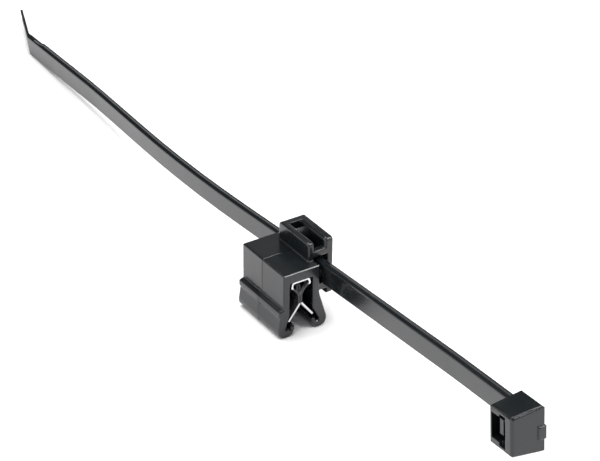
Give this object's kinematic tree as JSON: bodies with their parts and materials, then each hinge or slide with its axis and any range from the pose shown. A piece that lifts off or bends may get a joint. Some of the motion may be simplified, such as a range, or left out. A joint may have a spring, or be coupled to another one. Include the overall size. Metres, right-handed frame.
{
  "type": "edge clip cable tie",
  "caption": "Clip that pushes onto a panel edge and grips it with a folded steel insert, with a cable tie held on edge in the saddle at its side.",
  "frame": {"origin": "straight below the throat that grips the panel, midway along the clip, level with the two feet that it stands on", "axes": "+X along the panel edge and the strap towards the tie's head, +Z out of the panel edge, the saddle on the +Y side"},
  "size_m": [0.2119, 0.0229, 0.0204],
  "materials": {
    "clip_nylon": "black moulded polyamide, satin gloss, fine tooling grain",
    "spring_steel": "bright cold-rolled spring steel with sheared edges",
    "tie_nylon": "black moulded polyamide, satin gloss"
  },
  "bodies": {
    "clip": {"clip_housing": "clip_nylon", "spring_insert": "spring_steel"},
    "tie": {"cable_tie": "tie_nylon"}
  },
  "joints": [
    {"name": "tie_slide", "type": "slide", "parent": "clip", "child": "tie", "axis": [0.9973, 0, 0.0736], "range_m": [0, 0.03]}
  ]
}
